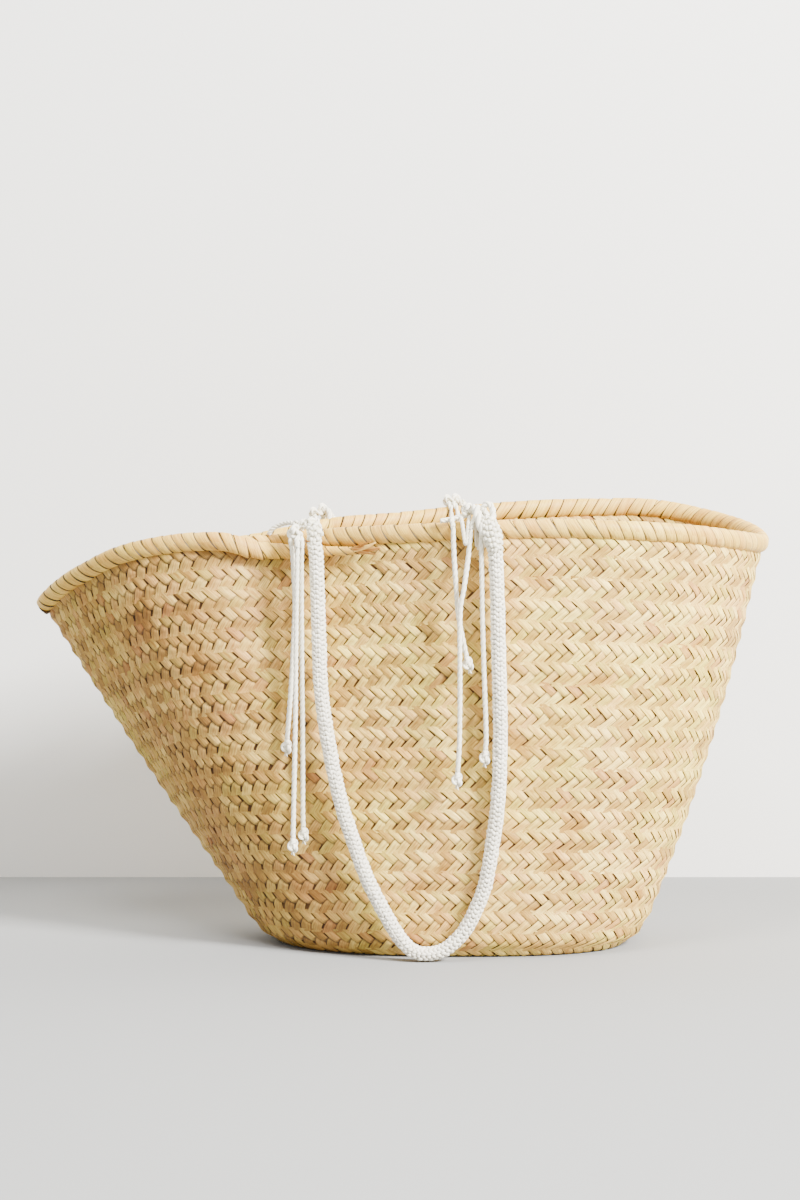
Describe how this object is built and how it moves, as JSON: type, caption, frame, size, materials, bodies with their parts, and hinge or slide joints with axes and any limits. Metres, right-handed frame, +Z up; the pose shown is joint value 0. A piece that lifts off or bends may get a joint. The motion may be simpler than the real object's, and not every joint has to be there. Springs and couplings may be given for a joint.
{
  "type": "straw basket bag",
  "caption": "Open straw basket bag of coiled braid rows with a wrapped rim roll, a thick white rope handle lashed to each side and knotted cord ends.",
  "frame": {"origin": "on the floor, under the middle of the mouth's length and width, at the height of the bag's flat bottom", "axes": "+X along the mouth towards the high round end, +Y from the front to the back, +Z up; the low drooping end is at -X"},
  "size_m": [0.5859, 0.2478, 0.3585],
  "materials": {
    "straw_braid": "matt dried palm leaf",
    "rim_straw": "matt dried palm leaf",
    "cotton_rope": "matt knitted cotton",
    "cotton_cord": "matt twisted cotton"
  },
  "bodies": {
    "root": {"basket_body": "straw_braid", "rim_roll": "rim_straw", "front_handle": "cotton_rope", "back_handle": "cotton_rope", "front_left_lashing": "cotton_cord", "front_right_lashing": "cotton_cord", "back_left_lashing": "cotton_cord", "back_right_lashing": "cotton_cord", "front_left_tail_1": "cotton_cord", "front_left_tail_2": "cotton_cord", "front_left_tail_3": "cotton_cord", "front_right_tail_1": "cotton_cord", "front_right_tail_2": "cotton_cord", "front_right_tail_3": "cotton_cord", "back_left_tail": "cotton_cord", "back_right_tail": "cotton_cord", "front_left_tail_1_knot": "cotton_cord", "front_left_tail_2_knot": "cotton_cord", "front_left_tail_3_knot": "cotton_cord", "front_right_tail_1_knot": "cotton_cord", "front_right_tail_2_knot": "cotton_cord", "front_right_tail_3_knot": "cotton_cord", "back_left_tail_knot": "cotton_cord", "back_right_tail_knot": "cotton_cord"}
  },
  "joints": []
}
